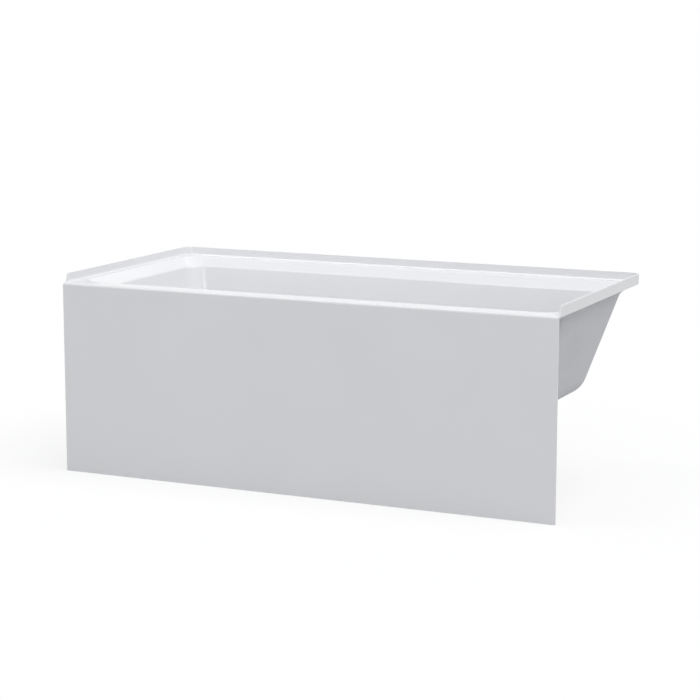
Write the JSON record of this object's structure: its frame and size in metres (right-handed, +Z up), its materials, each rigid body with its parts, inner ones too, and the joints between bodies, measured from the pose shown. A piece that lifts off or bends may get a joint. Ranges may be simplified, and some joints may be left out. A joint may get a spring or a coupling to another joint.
{
  "type": "alcove bathtub",
  "caption": "White alcove bathtub with integral apron, tiling flange on three sides, left-hand drain, levelling feet and waste with overflow.",
  "frame": {"origin": "on the floor, under the centre of the outer box", "axes": "+X along the bath, away from the drain end; +Y from the apron to the back wall; +Z up"},
  "size_m": [1.524, 0.7366, 0.587],
  "materials": {
    "white_acrylic": "high gloss",
    "white_laminate": "satin resin",
    "timber": "planed",
    "plywood": "sanded",
    "galvanised_steel": "zinc coated",
    "zinc_screw": "bright zinc",
    "chrome": "polished",
    "brass": "turned",
    "black_rubber": "matte",
    "white_pipe": "smooth",
    "grey_plastic": "moulded"
  },
  "bodies": {
    "tub": {"tub_shell": "white_acrylic", "basin_laminate": "white_laminate", "apron_backing": "white_laminate", "rim_batten": "timber", "foot_batten": "timber", "apron_post_left": "timber", "apron_post_middle": "timber", "apron_post_right": "timber", "base_board": "plywood", "rail_front": "galvanised_steel", "rail_back": "galvanised_steel", "board_screws": "zinc_screw", "cross_bar_left": "galvanised_steel", "cross_bar_right": "galvanised_steel", "apron_bracket_left": "galvanised_steel", "apron_bracket_right": "galvanised_steel", "bar_screws": "zinc_screw", "post_screws": "zinc_screw", "weld_nuts": "zinc_screw", "lock_nuts": "zinc_screw", "drain_flange": "chrome", "drain_gasket": "black_rubber", "waste_elbow": "white_pipe", "waste_tube": "white_pipe", "waste_tee": "white_pipe", "overflow_tube": "white_pipe", "tail_pipe": "white_pipe", "slip_nuts": "grey_plastic", "overflow_plate": "chrome", "overflow_gasket": "black_rubber", "overflow_elbow": "white_pipe", "overflow_screws": "chrome", "stopper_post": "brass"},
    "stopper": {"stopper_cap": "chrome", "stopper_seal": "black_rubber"},
    "foot_1": {"foot_1_pad": "grey_plastic"},
    "rod_1": {"foot_1_rod": "zinc_screw"},
    "foot_2": {"foot_2_pad": "grey_plastic"},
    "rod_2": {"foot_2_rod": "zinc_screw"},
    "foot_3": {"foot_3_pad": "grey_plastic"},
    "rod_3": {"foot_3_rod": "zinc_screw"},
    "foot_4": {"foot_4_pad": "grey_plastic"},
    "rod_4": {"foot_4_rod": "zinc_screw"}
  },
  "joints": [
    {"name": "stopper_lift", "type": "slide", "parent": "tub", "child": "stopper", "axis": [0, 0, 1], "range_m": [0, 0.0095]},
    {"name": "foot_1_height", "type": "slide", "parent": "tub", "child": "foot_1", "axis": [0, 0, 1], "range_m": [-0.02, 0]},
    {"name": "rod_1_turn", "type": "hinge", "parent": "foot_1", "child": "rod_1", "pos_m": [-0.4, -0.2375, 0.1], "axis": [0, 0, 1], "range_deg": [0, 4115.29]},
    {"name": "foot_2_height", "type": "slide", "parent": "tub", "child": "foot_2", "axis": [0, 0, 1], "range_m": [-0.02, 0]},
    {"name": "rod_2_turn", "type": "hinge", "parent": "foot_2", "child": "rod_2", "pos_m": [0.4, -0.2375, 0.1], "axis": [0, 0, 1], "range_deg": [0, 4115.29]},
    {"name": "foot_3_height", "type": "slide", "parent": "tub", "child": "foot_3", "axis": [0, 0, 1], "range_m": [-0.02, 0]},
    {"name": "rod_3_turn", "type": "hinge", "parent": "foot_3", "child": "rod_3", "pos_m": [-0.4, 0.2625, 0.1], "axis": [0, 0, 1], "range_deg": [0, 4115.29]},
    {"name": "foot_4_height", "type": "slide", "parent": "tub", "child": "foot_4", "axis": [0, 0, 1], "range_m": [-0.02, 0]},
    {"name": "rod_4_turn", "type": "hinge", "parent": "foot_4", "child": "rod_4", "pos_m": [0.4, 0.2625, 0.1], "axis": [0, 0, 1], "range_deg": [0, 4115.29]}
  ],
  "couplings": [
    {"joint": "rod_1_turn", "follows": "foot_1_height", "rad_per_m": -3590.4},
    {"joint": "rod_2_turn", "follows": "foot_2_height", "rad_per_m": -3590.4},
    {"joint": "rod_3_turn", "follows": "foot_3_height", "rad_per_m": -3590.4},
    {"joint": "rod_4_turn", "follows": "foot_4_height", "rad_per_m": -3590.4}
  ]
}
